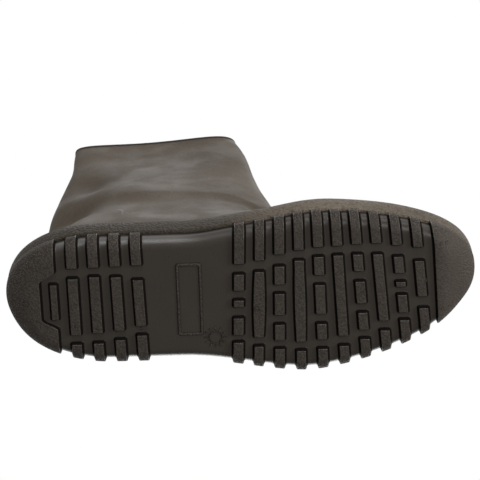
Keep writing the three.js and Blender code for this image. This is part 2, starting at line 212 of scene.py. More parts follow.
def sections():
    """Origin and angle of each section of the upper, from the toe's tip to the rim."""
    origins, angles = [], []
    for i in range(FORE):
        x = mix(PIVOT[0], TIP - END_GAP, math.cos(i / FORE * math.pi / 2))
        origins.append((x, float(centre_line(x)), CORE))
        angles.append(0.0)
    for i in range(TURN + 1):
        share = (i / TURN) ** 0.8
        a = share * math.pi / 2
        arm = mix(PIVOT[1] - CORE, PIVOT[0] - LEG_CORE[0], share)
        origins.append((PIVOT[0] - arm * math.sin(a), 0.0, PIVOT[1] - arm * math.cos(a)))
        angles.append(a)
    for i in range(1, LEG + 1):
        z = mix(PIVOT[1], RIM - END_GAP, i / LEG)
        y = 6 + LEAN * float(ease((z - ANKLE) / (RIM - ANKLE)))
        over = float(ease(i / 26))
        origins.append((mix(*LEG_CORE, over), y * over, z))
        angles.append(math.pi / 2)
    return np.array(origins), np.array(angles)


ORIGINS, ANGLES = sections()


def skin(inwards):
    """The upper's outer face moved in by a depth: an array of sections by points by XYZ."""
    even = np.arange(AROUND) / AROUND * 2 * math.pi
    a = even[None, :] + 0.3 * np.cos(2 * ANGLES)[:, None] * np.sin(2 * even)[None, :]
    ahead = np.cos(a)
    way = np.stack([ahead * np.sin(ANGLES)[:, None], np.sin(a), ahead * np.cos(ANGLES)[:, None]], -1)
    low = np.zeros(a.shape)
    going = np.ones(a.shape, bool)
    stride = 3.0
    while going.any():
        p = ORIGINS[:, None, :] + way * (low + stride)[..., None]
        going &= inside(p) > inwards
        low = np.where(going, low + stride, low)
    high = low + stride
    for _ in range(18):
        middle = (low + high) / 2
        within = inside(ORIGINS[:, None, :] + way * middle[..., None]) > inwards
        low, high = np.where(within, middle, low), np.where(within, high, middle)
    return ORIGINS[:, None, :] + way * low[..., None]


def grid_normals(g):
    """Outward normals of a grid of points whose second index runs round a closed ring."""
    return unit(np.cross(np.roll(g, -1, 1) - np.roll(g, 1, 1), np.gradient(g, axis=0)))


def waves(p, length, seed, count=7):
    """Smooth noise from -1 to 1 with features about this many millimetres long."""
    rng = np.random.default_rng(seed)
    total = np.zeros(p.shape[:-1])
    for _ in range(count):
        d = unit(rng.normal(size=3))
        k = 2 * math.pi / (length * rng.uniform(0.75, 1.6))
        total += np.sin((p @ d) * k + rng.uniform(0, 2 * math.pi))
    return total / count * 1.6


# Soft hollows behind the inner ankle and up the back of the leg, and the swells between them:
# X, Z, the two half sizes and the height.
HOLLOWS = (
    (-118, 102, 17, 20, -7.4), (-110, 158, 17, 22, -5.4), (-124, 60, 13, 13, -3.5), (-62, 154, 36, 24, -1.6),
    (-92, 76, 26, 14, 1.6), (-34, 88, 42, 15, 1.6), (-78, 122, 24, 22, 1.2),
)
# The back of the leg swells over the heel and sinks under the rim, and its front is drawn in:
# height, Z and reach.
BACK_SWELLS = ((0.9, 126, 44), (2.4, 94, 20), (0.4, 101, 9), (-2.8, 204, 46), (-3.0, 62, 28))
FRONT_SWELLS = ((-3.6, 172, 66), (-1.7, 105, 15), (-0.75, 102, 8))
# Creases that fan out from the instep: angle in degrees, depth and width.
CREASES = ((37, 0.8, 8.0), (58, 1.0, 9.5), (80, 0.7, 9.0))


def dome(u, v):
    return np.exp(-(u**2) - v**2)


def relief(p, n):
    """How far the upper's outer face stands off its smooth body, as slack rubber does."""
    x, y, z = p[..., 0], p[..., 1], p[..., 2]
    inner, outer = ease(-n[..., 1] * 1.4), ease(n[..., 1] * 1.4)
    r = 1.1 * ease((z - 95) / 60) * waves(p, 105, 3) * ease((RIM + 6 - z) / 40)
    r += 0.25 * waves(p, 42, 4) * ease((z - 40) / 30) * ease((RIM - z) / 25)
    for cx, cz, wx, wz, high in HOLLOWS:
        r += high * dome((x - cx) / wx, (z - cz) / wz) * inner
    r -= 1.5 * dome((x + 96) / 24, (z - 120) / 22) * outer
    for swells, way in ((BACK_SWELLS, -1), (FRONT_SWELLS, 1)):
        r += ease(way * n[..., 0] * 1.6 - 0.1) * sum(high * bump(z, cz, reach) for high, cz, reach in swells)
    turn = np.degrees(np.arctan2(PIVOT[0] - x, np.maximum(PIVOT[1] - z, 1e-3)))
    away = np.hypot(PIVOT[0] - x, PIVOT[1] - z)
    near = ease((82 - away) / 60) * ease((away - 22) / 36)
    for place, deep, wide in CREASES:
        r -= deep * near * dome((turn - place) / wide, 0)
        r += 0.5 * deep * near * dome((turn - place - 11) / wide, 0)
    return r


# ---- meshes


def area_normals(v, faces):
    """Area-weighted vertex normals, so that flat faces stay flat beside narrow rounded edges."""
    n = np.zeros_like(v)
    f = np.array([q if len(q) == 4 else (*q, q[2]) for q in faces])
    c = np.cross(v[f[:, 2]] - v[f[:, 0]], v[f[:, 3]] - v[f[:, 1]])
    four = f[:, 2] != f[:, 3]
    c[~four] = np.cross(v[f[~four, 1]] - v[f[~four, 0]], v[f[~four, 2]] - v[f[~four, 0]])
    for k in range(3):
        np.add.at(n, f[:, k], c)
    np.add.at(n, f[four, 3], c[four])
    return unit(n)


def placed(name, data):
    """An object in the scene that holds the data."""
    obj = bpy.data.objects.new(name, data)
    bpy.context.scene.collection.objects.link(obj)
    return obj


def build(name, v, faces, material, normals=None, attributes=None, smooth=True):
    """A mesh object from millimetre vertices and quads or triangles."""
    me = bpy.data.meshes.new(name)
    me.from_pydata((np.asarray(v) * MM).tolist(), [], [list(f) for f in faces])
    me.update()
    me.polygons.foreach_set("use_smooth", [smooth] * len(me.polygons))
    for key, values in (attributes or {}).items():
        at = me.attributes.new(key, "FLOAT", "POINT")
        at.data.foreach_set("value", np.asarray(values, np.float32).ravel())
    obj = placed(name, me)
    me.materials.append(material)
    if normals is not None:
        me.normals_split_custom_set_from_vertices(np.asarray(normals).tolist())
    return obj


def grid(rings, count, closed):
    """Vertex numbers of rings of count points each. With closed, the last ring joins the first."""
    g = np.arange(rings * count).reshape(rings, count)
    g = np.concatenate([g, g[:, :1]], 1)
    return np.concatenate([g, g[:1]]) if closed else g


def quads(g):
    """Faces between the neighbours in a grid of vertex numbers."""
    return np.stack([g[:-1, :-1], g[:-1, 1:], g[1:, 1:], g[1:, :-1]], -1).reshape(-1, 4).tolist()


def backwards(faces):
    return [f[::-1] for f in faces]


def lifted(plan, z):
    """Points in plan given their height: one for all, or one each."""
    return np.column_stack([plan, np.broadcast_to(z, len(plan))])


def rings_mesh(section, closed=True):
    """Vertices and faces of a surface through rings, each given as its points in plan and their Z."""
    v = [lifted(q, z) for q, z in section]
    return np.concatenate(v), quads(grid(len(v), len(v[0]), closed))


def shell(name, outer, inner, material, tip, normals):
    """A closed wall between two grids of rings. With tip, the first ring closes to a point at the toe."""
    v = np.concatenate([outer.reshape(-1, 3), inner.reshape(-1, 3)])
    n = np.concatenate([normals[0].reshape(-1, 3), -normals[1].reshape(-1, 3)])
    over = grid(*outer.shape[:2], False)
    under = over + outer[..., 0].size
    faces = quads(over) + backwards(quads(under))
    faces += backwards(quads(np.stack([over[-1], under[-1]], 1)))
    if tip:
        for numbers, first, way in ((over[0], outer[0], 1), (under[0], inner[0], -1)):
            faces += [(len(v), a, b)[::-way] for a, b in zip(numbers.tolist(), numbers[1:].tolist())]
            middle = first.mean(0)
            v = np.concatenate([v, [(first[:, 0].max() + 0.5, middle[1], middle[2])]])
            n = np.concatenate([n, [(way, 0, 0)]])
    else:
        faces += quads(np.stack([over[0], under[0]], 1))
    return build(name, v, faces, material, n)


# ---- outsole

# A cleat's edge: distance outwards from it, and the share of the cleat's height there.
EDGE = ((-1.15, 1.0), (-0.72, 0.985), (-0.42, 0.9), (-0.12, 0.64), (0.3, 0.2), (0.62, 0.045), (1.15, 0.0))
RUN = EDGE[-1][0]  # from a cleat's edge out to its foot
BREAKS = 5  # block ends that each side of a row has room for
FLAT = BREAKS * (len(EDGE) + 1) + 1  # points over the flat bottom, from its edge to the middle
WALL_STEPS = (0.0, 0.14, 0.3, 0.5, 0.75)
CORNER_STEPS = 11
FADE = (12.3, 1.7)  # Z where a side cleat ends on the wall, and how far it takes
WALL_STAND = 2.55  # how far a side cleat stands off the wall
TREAD_SPREAD = 1.9  # how far the outer edge of the tread stands out past the CAD part's

# Each row's inner ends of its two side cleats, and the Y spans of the blocks between them.
FORE_BLOCKS = (
    (-22.6, 33.3, ((-16.0, -3.5), (2.6, 8.3), (15.5, 28.7))),
    (-24.7, 36.6, ((-17.5, 30.8),)),
    (-28.6, 38.8, ((-21.0, -7.2), (-1.4, 14.8), (21.0, 33.4))),
    (-31.2, 40.6, ((-24.8, 34.8),)),
    (-33.0, 39.5, ((-27.0, -13.2), (-7.0, 14.8), (21.2, 33.5))),
    (-33.5, 37.7, ((-27.7, 31.2),)),
    (-34.4, 33.0, ((-28.0, -15.2), (-8.6, 8.0), (13.9, 27.2))),
    (-34.7, 27.2, ((-27.7, 20.9),)),
    (-33.0, 20.0, ((-25.6, -13.0), (-7.6, -3.2), (1.7, 15.4))),
    (-31.1, 11.7, ((-22.2, 4.1),)),
)
HEEL_BLOCKS = (
    (-23.6, 26.0, ((-14.0, 20.0),)),
    (-23.2, 29.0, ((-16.5, 23.0),)),
    (-22.8, 31.0, ((-17.0, 24.5),)),
    (-22.4, 31.5, ((-16.0, 25.5),)),
)
BARREL = {1: 0.75, 3: 0.45}  # extra half width at the middle of a long bar
HEEL_ROWS, HEEL_PITCH = -66.6, 14.3  # X of the foremost row, and from row to row
FORE_ROWS, FORE_PITCH = -1.2, 13.4  # X of the rearmost row, and from row to row
MIDDLE_X = (-140, -110, -40, -1.2, 25.6, 52.4, 79.2, 106, 119.4, 150)
MIDDLE_Y = (0.5, 3.5, 2.5, 0.0, 5.0, 4.0, 0.0, -1.0, -6.0, -9.0)
HEEL_LINE = -133.4  # X of the rearmost line across the heel bumper
BUMPER = (-120.6, -10.4)  # X of the bumper's edge, and how much further back it lies behind the bar
BAR = (-125.1, -119.7)  # X of the centre bar's rear and front edges
BAR_ENDS = (-117.6, 0.14)  # past the bar's ends its lines gather at this X, this close together
SHANK_LINES = 16


def make_rows():
    """The heel's and the forefoot's rows of cleats, from heel to toe."""
    rows = []
    for i in reversed(range(len(HEEL_BLOCKS))):
        x, lean = HEEL_ROWS - HEEL_PITCH * i, 0.008 * (3 - i)
        rows.append({"x": x, "lean": lean, "w": 7.5, "barrel": 0.0, "ends": HEEL_BLOCKS[i]})
    for i, blocks in enumerate(FORE_BLOCKS):
        x, lean = FORE_ROWS + FORE_PITCH * i, mix(-0.03, 0.1, float(ease(i / 8)))
        width = mix(7.5, 7.0, i / 9)
        rows.append({"x": x, "lean": lean, "w": width, "barrel": BARREL.get(i, 0.0), "ends": blocks})
    for row in rows:
        row["y0"] = float(np.interp(row["x"], MIDDLE_X, MIDDLE_Y))
    return rows


ROWS = make_rows()


def row_x(row, side):
    """X of a row's edge (side -1 or 1) or middle (0) for a given Y."""

    def x_of(y):
        swell = row["barrel"] * (0.7 - min(abs(y - 7) / 24, 1.0) ** 2)
        return row["x"] + row["lean"] * (y - 2) + side * (row["w"] / 2 + swell)

    return x_of


def cap_edge(y):
    """X of the toe cap's edge, which curves back on the inner side."""
    return 126.3 + 0.066 * (y + 33) - 0.006 * max(0.0, -(y + 33)) ** 2


def bumper_edge(y):
    """X of the heel bumper's edge, which makes room for the centre bar."""
    return BUMPER[0] + BUMPER[1] * (1 - float(ease((abs(y - 0.4) - 13.0) / 8.0)))


def bar_x(x):
    """X of a line of the centre bar, which narrows to nothing beyond the bar's ends."""
    gathered = BAR_ENDS[0] + (x - sum(BAR) / 2) * BAR_ENDS[1]
    return lambda y: mix(x, gathered, float(ease((abs(y - 1) - 14.5) / 5.0)))


def between(a, b, t):
    return lambda y: mix(a(y), b(y), t)


def stations():
    """Lines across the outsole from heel to toe: X as a function of Y, share of cleat height, and blocks."""
    out = []

    def rise(edge, blocks):
        for d, h in reversed(EDGE):
            out.append((lambda y, d=d: edge(y) - d, h, blocks))

    def fall(edge, blocks):
        for d, h in EDGE:
            out.append((lambda y, d=d: edge(y) + d, h, blocks))

    bar = {"ends": (None, None, ((-12.0, 14.0),)), "y0": 1.0}
    bumper = {"along": bar, "y0": 1.0}
    cap = {"solid": True, "y0": -7.5}
    for t in (0.0, 0.33, 0.67):
        out.append((lambda y, t=t: mix(HEEL_LINE, bumper_edge(y) - RUN, t), 1.0, bumper))
    fall(bumper_edge, bumper)
    out.append((between(lambda y: bumper_edge(y) + RUN, bar_x(BAR[0] - RUN), 0.5), 0.0, bar))
    out += [(bar_x(BAR[0] - d), h, bar) for d, h in reversed(EDGE)]
    out += [(bar_x(BAR[1] + d), h, bar) for d, h in EDGE]
    first = row_x(ROWS[0], -1)
    out.append((between(bar_x(BAR[1] + RUN), lambda y: first(y) - RUN, 0.5), 0.0, ROWS[0]))
    for row, after in zip(ROWS, ROWS[1:] + [None]):
        front = row_x(row, 1)
        rise(row_x(row, -1), row)
        out.append((row_x(row, 0), 1.0, row))
        fall(front, row)
        if after is None:
            out.append((between(front, cap_edge, 0.5), 0.0, row))
            continue
        shank = after["x"] - row["x"] > 20
        for t in np.linspace(0.12, 0.88, SHANK_LINES).tolist() if shank else (0.5,):
            blocks = {"between": (row, after, t), "y0": mix(row["y0"], after["y0"], t)}
            out.append((between(front, row_x(after, -1), t), 0.0, blocks))
    rise(cap_edge, cap)
    out.append((lambda y: cap_edge(y) + 2.2, 1.0, cap))
    return out


def block_values(blocks, side, start):
    """(Y, share) over the flat bottom from its edge to the middle; the count is always the same."""
    y0 = blocks["y0"]
    if "solid" in blocks:
        return [(mix(start, y0, (k + 1) / FLAT), 1.0) for k in range(FLAT)]
    if "along" in blocks:
        return [(y, 1.0) for y, _ in block_values(blocks["along"], side, start)]
    if "between" in blocks:
        a, b, t = blocks["between"]
        pairs = zip(block_values(a, side, start), block_values(b, side, start))
        return [(mix(p[0], q[0], t), 0.0) for p, q in pairs]
    lug = blocks["ends"][0 if side < 0 else 1]
    raised = lug is not None
    ends = [lug] if raised else []
    for span in sorted(blocks["ends"][2], key=lambda s: -side * (s[0] + s[1])):
        for y in sorted(span, key=lambda v: -side * v):
            if side * (y - y0) > 0:
                ends.append(y)
    out, at = [], start
    for y in ends:
        steps = EDGE if raised else tuple(reversed(EDGE))
        sign = -side if raised else side
        first = y + sign * steps[0][0]
        count = FLAT - 2 * len(EDGE) if lug is None and not out else 1
        out += [(mix(at, first, (k + 1) / (count + 1)), float(raised)) for k in range(count)]
        out += [(y + sign * d, h) for d, h in steps]
        raised = not raised
        at = out[-1][0]
    rest = FLAT - len(out)
    out += [(mix(at, y0, (k + 1) / rest), float(raised)) for k in range(rest)]
    return out


def edge_profile(x):
    """(inset, Z, outward direction) down the cup's wall and round the sole's edge to the flat bottom."""
    near = float(ease(1 - (HALF - abs(x)) / 32.0)) * (0.7 if x < 0 else 1.0)  # rounder near the ends
    plan, upright = EDGE_ROUND + 13.0 * near, 6.4 + 2.2 * near
    top = CLEAT + upright
    out = [(CUP_INSET, mix(CUP_TOP, top, t), -1.0, 0.0) for t in WALL_STEPS]
    for k in range(CORNER_STEPS):
        f = k / (CORNER_STEPS - 1) * math.pi / 2
        n = unit(np.array([-math.cos(f) / plan, -math.sin(f) / upright]))
        out.append((CUP_INSET + plan * (1 - math.cos(f)), top - upright * math.sin(f), n[0], n[1]))
    return out


def is_wall(share):
    return float(0.04 < share < 0.95)


def edge_line(e, ray, cos, share, solid):
    """(point, cleat share, cleat wall) down the wall and round the edge, on a line that runs inwards from e."""
    line = []
    spread = TREAD_SPREAD * float(ease((e[1] - 8) / 26))
    for inset, z, ni, nz in edge_profile(e[0]):
        left = 1.0 if solid else float(ease((FADE[0] - z) / FADE[1]))
        h = share * left
        off = h * mix(WALL_STAND, CLEAT, float(ease(-nz * 1.5)))
        p = e + ray * ((inset - spread + ni * off) / cos)
        line.append(((p[0], p[1], z + nz * off), h, is_wall(share) * left))
    return line


def outline_normal(x, side):
    """Unit normal in plan that points out of the sole's outline."""
    a, b = x - 0.05, x + 0.05
    return unit(np.array([edge_y(a, side) - edge_y(b, side), 0.1])) * side


def station_line(x_of, share, blocks, side):
    """A line across one side of the outsole, from its wall in to the middle."""
    y = side * 45.0
    for _ in range(50):
        y = 0.5 * y + 0.5 * float(edge_y(x_of(y), side))
    e = np.array([x_of(y), y])
    ray = unit(np.array([x_of(y - side * 12), y - side * 12]) - e)
    cos = max(0.45, float(-outline_normal(e[0], side) @ ray))
    solid = "solid" in blocks or "along" in blocks
    lug = solid or ("ends" in blocks and blocks["ends"][0] is not None)
    line = edge_line(e, ray, cos, share * lug, solid)
    for y, h in block_values(blocks, side, line[-1][0][1]):
        h *= share
        line.append(((x_of(y), y, CLEAT * (1 - h)), h, is_wall(h)))
    return line, (e, ray, cos)


def fan_line(pole, angle, sign, spacing):
    """A raised line from the sole's outline in to a pole near one end, with its flat part spaced as told."""
    way = np.array([math.cos(angle) * sign, math.sin(angle)])
    near, far = 0.0, 80.0
    for _ in range(40):
        m = (near + far) / 2
        p = pole + way * m
        within = abs(p[0]) < HALF and edge_y(p[0], -1) < p[1] < edge_y(p[0], 1)
        near, far = (m, far) if within else (near, m)
    e = pole + way * near
    if abs(e[0]) < HALF - 0.3:
        normal = outline_normal(e[0], 1 if way[1] > 0 else -1)
    else:
        normal = np.array([float(sign), 0.0])
    cos = max(0.45, float(normal @ way))
    line = edge_line(e, -way, cos, 1.0, True)
    start = np.array(line[-1][0][:2])
    for share_of_way in spacing:
        p = start + (pole - start) * share_of_way
        line.append(((p[0], p[1], 0.0), 1.0, 0.0))
    return line, (e, -way, cos)


INNER_CUP = ((4.3, 13.2), (4.9, 11.2), (6.4, 8.9), (9.5, 7.2))
FAN_LINES = 44


def outsole_mesh():
    """Vertices, faces, cleat shares and cleat walls of the outsole, one closed body."""
    across = stations()
    sides = {s: [station_line(*st, s) for st in across] for s in (1, -1)}
    fans = []
    for index, sign in ((0, -1), (-1, 1)):
        pole = np.array(sides[1][index][0][-1][0][:2])
        ends = []
        for side in (-sign, sign):
            y = np.array([point[0][1] for point in sides[side][index][0][-FLAT - 1:]])
            ends.append((y[1:] - y[0]) / (y[-1] - y[0]))
        turns = np.linspace(0, 1, FAN_LINES + 2)[1:-1]
        fans.append([fan_line(pole, -sign * math.pi * (0.5 - t), sign, mix(*ends, t)) for t in turns])
    lines = sides[1][::-1] + fans[0] + sides[-1] + fans[1]
    # lines with the same number meet at the middle
    count = len(across)
    meets = [*range(count)[::-1], *[0] * FAN_LINES, *range(count), *[count - 1] * FAN_LINES]
    v, share, wall = [], [], []

    def add(p, h=0.0, w=0.0):
        v.append(p)
        share.append(h)
        wall.append(w)
        return len(v) - 1

    outer, inner, hubs = [], [], {}
    for ((*way, last), (e, ray, cos)), number in zip(lines, meets):
        column = [add(*point) for point in way]
        if number not in hubs:
            hubs[number] = (add(*last), add((*last[0][:2], INNER_CUP[-1][1])))
        outer.append(column + [hubs[number][0]])
        inner.append([add((*(e + ray * (inset / cos)), z)) for inset, z in INNER_CUP] + [hubs[number][1]])
    faces = []

    def strip(a, b):
        for k in range(len(a) - 1):
            f = [a[k], b[k], b[k + 1], a[k + 1]]
            f = [q for i, q in enumerate(f) if q != f[i - 1]]
            if len(f) > 2:
                faces.append(f)

    for i in range(len(lines)):
        j = (i + 1) % len(lines)
        strip(outer[j], outer[i])
        strip(inner[i], inner[j])
        faces.append((outer[i][0], outer[j][0], inner[j][0], inner[i][0]))
    return np.array(v), faces, np.array(share), np.array(wall)


# ---- bands and boards that follow the outline


def outline_ring(count):
    """Points of the sole's outline, anticlockwise from the toe tip, and their outward normals in plan."""

    def at(a):
        x = HALF * np.cos(a)
        return np.stack([x, centre_line(x) + np.sign(np.sin(a)) * half_width(x)], -1)

    a = np.arange(count) / count * 2 * math.pi
    t = unit(at(a + 1e-3) - at(a - 1e-3))
    return at(a), np.stack([t[:, 1], -t[:, 0]], -1)


def band_mesh(section, count, wave):
    """A closed section of (inset, Z) carried round the sole's outline, a little uneven in its height."""
    p, n = outline_ring(count)
    v, faces = rings_mesh([(p - n * inset, z) for inset, z in section])
    v[:, 2] += wave * waves(v, 34, 11, 6)
    return v, faces


FOXING = (
    (1.5, 13.45), (1.05, 13.55), (0.72, 13.95), (0.55, 14.8), (0.32, 17.0), (0.1, 19.6), (0.0, 22.3),
    (0.06, 24.8), (0.24, 27.2), (0.45, 28.9), (0.72, 30.0), (1.12, 30.7), (1.7, 31.05), (2.5, 31.1),
    (3.5, 30.9), (3.8, 27.0), (3.9, 20.0), (4.6, 13.8), (3.2, 13.45),
)


BOARD_EDGE = ((8.6, 10.6), (7.4, 10.9), (7.1, 11.6), (7.3, 12.5), (8.0, 13.0), (14, 12.7), (24, 12.4))


def board_mesh(rings, count):
    """A closed board from rings of (inset, Z), capped at both ends towards the sole's middle line."""
    p, n = outline_ring(count)
    v, faces = rings_mesh([(p - n * inset, z) for inset, z in rings], False)
    # caps: strips between points at equal X on the two sides
    for base, flip in ((0, True), ((len(rings) - 1) * count, False)):
        for k in range(count // 2):
            a, b = base + k, base + k + 1
            c, d = base + (count - k - 1) % count, base + (count - k) % count
            f = (a, b, c, d) if k else (a, b, c)
            if b == c:
                f = (a, b, d)
            faces.append(f[::-1] if flip else f)
    return v, faces


# ---- materials


class Nodes:
    """The node tree of the world or a material, with short calls to add and join nodes."""

    def __init__(self, owner):
        owner.use_nodes = True
        self.tree = owner.node_tree

    def add(self, kind, inputs=None, **settings):
        node = self.tree.nodes.new(kind)
        for key, value in settings.items():
            setattr(node, key, value)
        for key, value in (inputs or {}).items():
            self.put(value, node.inputs[key])
        return node

    def put(self, value, socket):
        if isinstance(value, bpy.types.NodeSocket):
            self.tree.links.new(value, socket)
        else:
            socket.default_value = value

    def math(self, operation, *values):
        node = self.add("ShaderNodeMath", operation=operation)
        for socket, value in zip(node.inputs, values):
            self.put(value, socket)
        return node.outputs[0]

    def product(self, first, *more):
        for value in more:
            first = self.math("MULTIPLY", first, value)
        return first

    def total(self, a, b):
        return self.math("ADD", a, b)

    def less(self, a, b):
        return self.math("SUBTRACT", a, b)

    def span(self, value, low, high, to_low=0.0, to_high=1.0):
        node = self.add("ShaderNodeMapRange", interpolation_type="SMOOTHSTEP")
        for socket, v in zip(node.inputs, (value, low, high, to_low, to_high)):
            self.put(v, socket)
        return node.outputs[0]


class Material(Nodes):
    """A material whose colours are shades of one base."""

    def __init__(self, name, base):
        self.base = base
        self.material = bpy.data.materials.new(name)
        super().__init__(self.material)
        self.shader = self.tree.nodes["Principled BSDF"]
        self.place = self.add("ShaderNodeTexCoord").outputs["Object"]

    def axes(self):
        """The place's X, Y and Z."""
        return list(self.add("ShaderNodeSeparateXYZ", {"Vector": self.place}).outputs)

    def noise(self, scale, detail=2.0, rough=0.5, at=None):
        inputs = {"Vector": at or self.place, "Scale": scale, "Detail": detail, "Roughness": rough}
        return self.add("ShaderNodeTexNoise", inputs).outputs["Fac"]

    def cells(self, scale):
        inputs = {"Vector": self.place, "Scale": scale, "Smoothness": 0.35}
        return self.add("ShaderNodeTexVoronoi", inputs, feature="SMOOTH_F1").outputs["Distance"]

    def shade(self, k):
        """The base colour made lighter or darker."""
        return tuple(c * k for c in self.base)

    def colour(self, factor, a, b):
        node = self.add("ShaderNodeMix", data_type="RGBA")
        self.put(factor, node.inputs["Factor"])
        self.put((*a, 1.0) if isinstance(a, tuple) else a, node.inputs["A"])
        self.put((*b, 1.0), node.inputs["B"])
        return node.outputs["Result"]

    def tint(self, colour, k, *factors):
        """The colour turned towards k times the base by the product of the factors."""
        return self.colour(self.product(*factors), colour, self.shade(k))

    def attribute(self, name):
        return self.add("ShaderNodeAttribute", attribute_name=name).outputs["Fac"]

    def finish(self, colour, roughness, heights, specular):
        """heights is a list of (value, millimetres) that the bump adds up."""
        self.put(colour, self.shader.inputs["Base Color"])
        self.put(roughness, self.shader.inputs["Roughness"])
        self.put(specular, self.shader.inputs["Specular IOR Level"])
        normal = None
        for value, mm in heights:
            inputs = {"Height": value, "Distance": mm * MM, "Strength": 1.0}
            if normal is not None:
                inputs["Normal"] = normal
            normal = self.add("ShaderNodeBump", inputs).outputs["Normal"]
        self.put(normal, self.shader.inputs["Normal"])
        return self.material


def upper_rubber():
    g = Material("upper_rubber", (0.0935, 0.0755, 0.0580))
    broad = g.noise(14.0, 3.0, 0.55)
    fine = g.noise(420.0, 3.0, 0.6)
    speck = g.noise(900.0, 2.0, 0.5)
    dust = g.noise(60.0, 5.0, 0.65)
    colour = g.colour(g.span(broad, 0.35, 0.68), g.shade(0.88), g.shade(1.10))
    colour = g.tint(colour, 1.35, g.span(fine, 0.35, 0.7, 0.0, 0.3))
    colour = g.tint(colour, 0.62, g.span(speck, 0.5, 0.72, 0.0, 0.4))
    colour = g.tint(colour, 1.5, g.span(dust, 0.58, 0.80, 0.0, 0.2))
    # the edge of the heel counter under the rubber on the inner side: a front edge with a round top corner
    x, y, z = g.axes()
    front, top, corner = -0.079, 0.082, 0.016
    ahead = g.math("MAXIMUM", g.total(x, corner - front), 0.0)
    above = g.math("MAXIMUM", g.less(z, top - corner), 0.0)
    reach = g.math("SQRT", g.total(g.product(ahead, ahead), g.product(above, above)))
    step = g.span(reach, corner - 0.0006, corner + 0.0006, 1.0, 0.0)
    shown = g.product(g.span(x, -0.104, -0.090), g.span(y, -0.012, -0.02), g.span(z, 0.050, 0.070))
    line = g.span(g.math("ABSOLUTE", g.less(reach, corner)), 0.0, 0.0012, 1.0, 0.0)
    colour = g.tint(colour, 1.6, line, shown, 0.45)
    rough = g.span(g.noise(55.0, 4.0), 0.3, 0.7, 0.50, 0.64)
    return g.finish(colour, rough, [(fine, 0.06), (speck, 0.05), (g.product(step, shown), 0.5)], 0.05)


def foxing_rubber():
    g = Material("foxing_rubber", (0.0395, 0.0325, 0.0250))
    cells = g.cells(640.0)
    broad = g.noise(25.0, 3.0, 0.5)
    x = g.axes()[0]
    colour = g.colour(g.span(broad, 0.3, 0.7), g.shade(0.90), g.shade(1.12))
    # painted light: lighter towards the toe, which is lit more, than at the middle, which lies in shade
    colour = g.tint(colour, 4.6, g.span(x, -0.03, 0.05, 0.0, 0.8))
    colour = g.tint(colour, 2.3, g.span(x, 0.06, 0.12, 0.0, 0.6))
    colour = g.tint(colour, 2.2, g.span(cells, 0.1, 0.55, 0.5, 0.0))
    colour = g.tint(colour, 0.45, g.span(g.noise(330.0, 3.0), 0.5, 0.72, 0.0, 0.45))
    rough = g.span(broad, 0.3, 0.7, 0.56, 0.66)
    return g.finish(colour, rough, [(g.less(1.0, cells), 0.6), (g.noise(900.0, 2.0), 0.15)], 0.08)


def outsole_rubber():
    """The tread, by a point's share of cleat height, its Z in millimetres, and if it's on a cleat's wall."""
    g = Material("outsole_rubber", (0.0345, 0.0292, 0.0246))
    share, height, wall = g.attribute("cleat"), g.attribute("height"), g.attribute("wall")
    x = g.axes()[0]
    pebble = g.cells(820.0)
    stretched = g.add("ShaderNodeMapping", {"Vector": g.place, "Scale": (1.0, 0.22, 1.0)}).outputs["Vector"]
    grain = g.noise(1000.0, 3.0, 0.6, stretched)
    raised = g.span(share, 0.80, 0.99)
    ground = g.less(1.0, raised)
    bank = g.product(raised, g.span(height, 0.3, 4.0))  # the pebbled sides of cleats, cap and bumper
    colour = g.colour(raised, g.shade(1.08), g.shade(1.4))
    # painted shade: the floor between the cleats darkened high on the cup's wall, in the crevice under the
    # foxing
    colour = g.tint(colour, 0.12, g.span(height, 8.6, 12.4, 0.0, 0.85), ground)
    colour = g.tint(colour, 1.75, raised, g.span(grain, 0.42, 0.7, 0.0, 0.75))
    colour = g.tint(colour, 0.5, raised, g.span(pebble, 0.35, 0.6, 0.0, 0.5))
    colour = g.tint(colour, 3.1, bank, g.span(pebble, 0.1, 0.42, 1.0, 0.0))
    # painted highlight: the cleats made lighter up the cup's side
    colour = g.tint(colour, 1.8, raised, g.span(height, 3.0, 12.0, 0.0, 0.4))
    # painted light: the toe cap made lighter, as more light falls there
    colour = g.tint(colour, 2.6, raised, g.span(x, 0.124, 0.140, 0.0, 0.5))
    colour = g.tint(colour, 1.35, g.span(g.noise(30.0, 4.0), 0.35, 0.7, 0.0, 0.3))
    # painted shade: the cleats' walls made nearly black, as the shade between the cleats
    colour = g.tint(colour, 0.06, wall, 0.86)
    # polish: on the cleats' edges, and on the cup's side, less so ahead of the shank
    rim = g.product(g.span(share, 0.86, 0.95), g.span(share, 0.986, 0.999, 1.0, 0.0))
    side = g.product(g.span(height, 3.4, 6.0), ground, g.span(x, -0.044, -0.022, 1.0, 0.25))
    rough = g.total(g.span(raised, 0.0, 1.0, 0.27, 0.55), g.span(grain, 0.3, 0.7, 0.0, 0.08))
    rough = g.total(g.less(rough, g.product(rim, 0.22)), g.product(side, 0.08))
    gloss = g.total(g.product(rim, 0.30), g.product(side, 0.78))
    gloss = g.total(g.span(raised, 0.0, 1.0, 0.13, 0.09), gloss)
    gloss = g.product(gloss, g.less(1.0, g.product(wall, 0.95)))
    bumpy = g.product(g.less(1.0, pebble), g.total(raised, bank))
    return g.finish(colour, rough, [(bumpy, 0.30), (grain, 0.10)], gloss)


def rim_rubber():
    g = Material("rim_rubber", (0.030, 0.026, 0.022))
    fine = g.noise(380.0, 3.0)
    colour = g.colour(g.span(fine, 0.3, 0.7), g.shade(0.8), g.shade(1.3))
    return g.finish(colour, g.span(g.noise(200.0), 0.3, 0.7, 0.45, 0.6), [(fine, 0.06)], 0.07)


